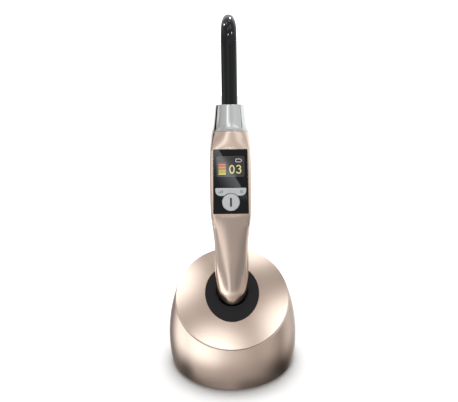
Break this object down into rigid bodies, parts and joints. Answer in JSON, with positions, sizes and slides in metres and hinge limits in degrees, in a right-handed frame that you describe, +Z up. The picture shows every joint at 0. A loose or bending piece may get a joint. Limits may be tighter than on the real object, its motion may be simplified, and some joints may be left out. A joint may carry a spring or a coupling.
{
  "type": "dental curing light",
  "caption": "Cordless pen-shaped curing light with a bent light guide, small screen and keys, standing in a slant-topped charging dock.",
  "frame": {"origin": "middle of the dock's foot pad, on the table", "axes": "+Z up, +X to the right and +Y to the back, away from the screen and keys"},
  "size_m": [0.086, 0.086, 0.2252],
  "materials": {
    "rose_gold": "satin metallic rose gold",
    "black_silicone": "soft matte black",
    "black_plastic": "fine-grained black",
    "dark_foot": "matte non-slip",
    "cast_weight": "as cast, oiled",
    "steel": "bright screws and contacts",
    "brass": "gold-plated contacts",
    "circuit_green": "green solder mask",
    "chrome": "polished chrome",
    "smoked_window": "smoked gloss",
    "screen_glass": "dark screen glass",
    "silver_key": "silver-painted, satin",
    "black_glass": "glossy black coating",
    "clear_glass": "polished optical glass",
    "aluminium": "turned",
    "reflector_metal": "mirror-bright",
    "cell_wrap": "shrink-wrapped can",
    "white_silicone": "translucent silicone",
    "chip_black": "moulded packages",
    "ivory_plastic": "moulded connector"
  },
  "bodies": {
    "dock": {"base_shell": "rose_gold", "top_plate": "rose_gold", "socket_collar": "black_silicone", "socket_well": "black_plastic", "well_screws": "steel", "contact_block": "black_plastic", "pin_barrels": "brass", "contact_lead": "black_plastic", "board_header": "ivory_plastic", "charge_board": "circuit_green", "board_spacers": "steel", "power_inlet": "steel", "inlet_tongue": "black_plastic", "ballast": "cast_weight", "base_cover": "black_plastic", "cover_screws": "steel", "foot_pad": "dark_foot"},
    "contact_pins": {"contact_pins": "brass"},
    "handpiece": {"body_shell": "rose_gold", "tail_plug": "black_plastic", "tail_contacts": "brass", "cell_spring": "steel", "battery_cell": "cell_wrap", "cell_contact": "brass", "nose_cone": "chrome", "nose_seal": "black_silicone", "heat_sink": "aluminium", "led_board": "aluminium", "led_emitter": "clear_glass", "reflector": "reflector_metal", "window_panel": "smoked_window", "display_module": "screen_glass", "keypad_membrane": "white_silicone", "tact_switches": "chip_black", "main_board": "circuit_green", "board_chips": "chip_black", "buzzer": "chip_black", "chassis": "black_plastic"},
    "power_button": {"power_button": "silver_key"},
    "mode_rocker": {"mode_rocker": "silver_key"},
    "guide_holder": {"guide_bush": "black_plastic", "guide_seals": "black_silicone"},
    "guide": {"light_guide": "clear_glass", "guide_sheath": "black_glass", "guide_ferrule": "steel"}
  },
  "joints": [
    {"name": "handpiece_lift", "type": "slide", "parent": "dock", "child": "handpiece", "axis": [0, 0.1736, 0.9848], "range_m": [0, 0.04]},
    {"name": "contact_pin_press", "type": "slide", "parent": "dock", "child": "contact_pins", "axis": [0, 0.1736, 0.9848], "range_m": [-0.001, 0], "stiffness_N_per_m": 600},
    {"name": "power_button_press", "type": "slide", "parent": "handpiece", "child": "power_button", "axis": [0, 0.9848, -0.1736], "range_m": [0, 0.0004], "stiffness_N_per_m": 1500},
    {"name": "mode_rocker_tilt", "type": "hinge", "parent": "handpiece", "child": "mode_rocker", "pos_m": [0, -0.00524, 0.1193], "axis": [0, 0.1736, 0.9848], "range_deg": [-2.5, 2.5], "stiffness_Nm_per_rad": 0.1},
    {"name": "guide_turn", "type": "hinge", "parent": "handpiece", "child": "guide_holder", "pos_m": [0, 0.01413, 0.16584], "axis": [0, 0.1736, 0.9848], "continuous": true},
    {"name": "guide_pull", "type": "slide", "parent": "guide_holder", "child": "guide", "axis": [0, 0.1736, 0.9848], "range_m": [0, 0.012]}
  ]
}
